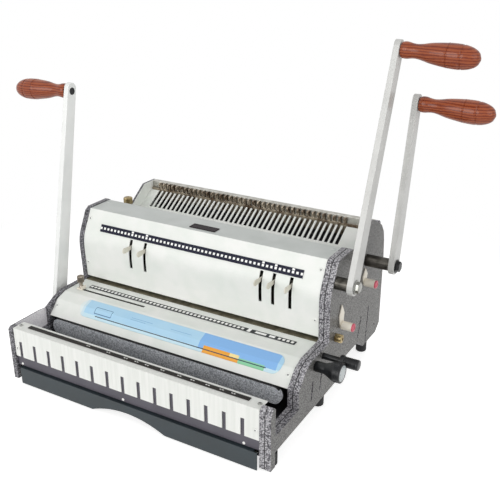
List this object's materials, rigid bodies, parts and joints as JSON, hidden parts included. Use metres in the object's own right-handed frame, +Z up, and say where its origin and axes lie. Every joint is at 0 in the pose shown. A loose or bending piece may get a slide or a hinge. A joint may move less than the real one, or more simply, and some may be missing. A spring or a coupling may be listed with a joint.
{
  "type": "binding machine",
  "caption": "Desk punch and binding machine with wire closer, punch unit, slotted element opener, levers with wooden grips and a chip drawer.",
  "frame": {"origin": "centre of the whole machine's bounding box in X and Y, at the underside of its feet", "axes": "+Z up, +X to the right along the machine's width, -Y towards the person using it"},
  "size_m": [0.6698, 0.3452, 0.4709],
  "materials": {
    "hammertone": "dark hammertone paint",
    "hammertone_grey": "grey hammertone paint",
    "off_white_paint": "satin enamel",
    "slate_panel": "smooth slate paint",
    "black_plastic": "moulded black plastic",
    "black_rubber": "matt rubber",
    "bright_steel": "zinc-plated steel",
    "dark_steel": "blackened steel",
    "hook_brass": "passivated brown brass",
    "knob_brass": "turned brass",
    "lever_paint": "glossy white enamel",
    "red_wood": "lacquered red-brown wood",
    "ivory_plastic": "moulded off-white plastic",
    "printed_blue": "printed label film"
  },
  "bodies": {
    "frame": {"left_side_plate": "hammertone", "right_side_plate": "hammertone", "right_casing": "hammertone_grey", "base_pan": "hammertone", "front_rail": "hammertone", "hanger_plate": "off_white_paint", "size_strip": "black_plastic", "table_cover": "off_white_paint", "instruction_plate": "printed_blue", "table_scale": "ivory_plastic", "die_block": "dark_steel", "pin_guide": "bright_steel", "punch_cover": "off_white_paint", "hole_ruler": "black_plastic", "badge_plate": "black_plastic", "comb_plate": "off_white_paint", "rear_cover": "hammertone", "press_guide_left": "bright_steel", "press_guide_right": "bright_steel", "front_foot_left": "black_rubber", "front_foot_right": "black_rubber", "middle_foot_left": "black_rubber", "middle_foot_right": "black_rubber", "rear_foot_left": "black_rubber", "rear_foot_right": "black_rubber"},
    "left_lever": {"left_lever_arm": "lever_paint", "left_lever_bolt": "bright_steel", "closer_shaft": "dark_steel"},
    "left_grip_body": {"left_grip": "red_wood"},
    "press": {"press_plate": "hammertone"},
    "front_lever": {"front_lever_arm": "lever_paint", "front_lever_bolt": "bright_steel", "punch_shaft": "dark_steel"},
    "front_grip_body": {"front_grip": "red_wood"},
    "punch": {"punch_bar": "dark_steel"},
    "rear_lever": {"rear_lever_arm": "lever_paint", "rear_lever_bolt": "black_plastic", "comb_shaft": "dark_steel"},
    "rear_grip_body": {"rear_grip": "red_wood"},
    "opener": {"hook_bar": "hook_brass", "comb_top_bar": "hammertone_grey"},
    "drawer": {"drawer_front": "slate_panel", "drawer_tray": "bright_steel"},
    "side_guide": {"guide_bracket": "ivory_plastic"},
    "side_guide_screw": {"guide_screw": "knob_brass"},
    "front_depth": {"front_depth_knob": "ivory_plastic", "front_depth_pointer": "ivory_plastic", "depth_stop_rod": "bright_steel"},
    "rear_depth": {"rear_depth_knob": "ivory_plastic", "rear_depth_pointer": "ivory_plastic"},
    "lock": {"lock_screw": "knob_brass"},
    "dial": {"size_dial": "black_plastic"},
    "release": {"release_rod": "black_plastic"},
    "unit": {"unit_screw": "knob_brass"},
    "tab_1": {"pull_tab_1": "ivory_plastic"},
    "tab_2": {"pull_tab_2": "ivory_plastic"},
    "tab_3": {"pull_tab_3": "ivory_plastic"},
    "tab_4": {"pull_tab_4": "ivory_plastic"},
    "tab_5": {"pull_tab_5": "ivory_plastic"}
  },
  "joints": [
    {"name": "left_lever_pull", "type": "hinge", "parent": "frame", "child": "left_lever", "pos_m": [-0.21875, -0.05635, 0.071], "axis": [1, 0, 0], "range_deg": [0, 75]},
    {"name": "press_travel", "type": "slide", "parent": "frame", "child": "press", "axis": [0, -1, 0], "range_m": [0, 0.04]},
    {"name": "left_grip_spin", "type": "hinge", "parent": "left_lever", "child": "left_grip_body", "pos_m": [-0.23375, 0.00906, 0.38138], "axis": [-0.9986, -0.0108, -0.0512], "continuous": true},
    {"name": "front_lever_pull", "type": "hinge", "parent": "frame", "child": "front_lever", "pos_m": [0.19495, 0.00065, 0.182], "axis": [1, 0, 0], "range_deg": [0, 75]},
    {"name": "punch_travel", "type": "slide", "parent": "frame", "child": "punch", "axis": [0, 0, -1], "range_m": [0, 0.008]},
    {"name": "front_grip_spin", "type": "hinge", "parent": "front_lever", "child": "front_grip_body", "pos_m": [0.21675, 0.10539, 0.45917], "axis": [0.9986, -0.0185, -0.049], "continuous": true},
    {"name": "rear_lever_pull", "type": "hinge", "parent": "frame", "child": "rear_lever", "pos_m": [0.19495, 0.10215, 0.1753], "axis": [1, 0, 0], "range_deg": [0, 75]},
    {"name": "opener_travel", "type": "slide", "parent": "frame", "child": "opener", "axis": [0, 1, 0], "range_m": [0, 0.006]},
    {"name": "rear_grip_spin", "type": "hinge", "parent": "rear_lever", "child": "rear_grip_body", "pos_m": [0.23375, 0.14309, 0.38789], "axis": [0.9986, -0.0099, -0.0514], "continuous": true},
    {"name": "drawer_slide", "type": "slide", "parent": "frame", "child": "drawer", "axis": [0, -1, 0], "range_m": [0, 0.15]},
    {"name": "side_guide_slide", "type": "slide", "parent": "frame", "child": "side_guide", "axis": [1, 0, 0], "range_m": [0, 0.1]},
    {"name": "guide_screw_turn", "type": "hinge", "parent": "side_guide", "child": "side_guide_screw", "pos_m": [-0.19295, -0.04835, 0.113], "axis": [0, 0, 1], "range_deg": [-180, 180]},
    {"name": "front_depth_turn", "type": "hinge", "parent": "frame", "child": "front_depth", "pos_m": [0.19605, 0.02095, 0.1128], "axis": [1, 0, 0], "range_deg": [-45, 45]},
    {"name": "rear_depth_turn", "type": "hinge", "parent": "frame", "child": "rear_depth", "pos_m": [0.19605, 0.09755, 0.1439], "axis": [1, 0, 0], "range_deg": [-45, 45]},
    {"name": "lock_screw_turn", "type": "hinge", "parent": "frame", "child": "lock", "pos_m": [0.19605, 0.00505, 0.1012], "axis": [1, 0, 0], "range_deg": [-180, 180]},
    {"name": "size_dial_turn", "type": "hinge", "parent": "frame", "child": "dial", "pos_m": [0.19605, -0.05505, 0.09], "axis": [1, 0, 0], "range_deg": [-150, 150]},
    {"name": "release_rod_pull", "type": "slide", "parent": "frame", "child": "release", "axis": [1, 0, 0], "range_m": [0, 0.008]},
    {"name": "unit_screw_turn", "type": "hinge", "parent": "frame", "child": "unit", "pos_m": [-0.21295, 0.09665, 0.19], "axis": [0, 0, 1], "range_deg": [-180, 180]},
    {"name": "tab_1_pull", "type": "slide", "parent": "punch", "child": "tab_1", "axis": [0, -1, 0], "range_m": [0, 0.006]},
    {"name": "tab_2_pull", "type": "slide", "parent": "punch", "child": "tab_2", "axis": [0, -1, 0], "range_m": [0, 0.006]},
    {"name": "tab_3_pull", "type": "slide", "parent": "punch", "child": "tab_3", "axis": [0, -1, 0], "range_m": [0, 0.006]},
    {"name": "tab_4_pull", "type": "slide", "parent": "punch", "child": "tab_4", "axis": [0, -1, 0], "range_m": [0, 0.006]},
    {"name": "tab_5_pull", "type": "slide", "parent": "punch", "child": "tab_5", "axis": [0, -1, 0], "range_m": [0, 0.006]}
  ],
  "couplings": [
    {"joint": "press_travel", "follows": "left_lever_pull", "m_per_rad": 0.0305},
    {"joint": "punch_travel", "follows": "front_lever_pull", "m_per_rad": 0.0061},
    {"joint": "opener_travel", "follows": "rear_lever_pull", "m_per_rad": 0.0045}
  ]
}
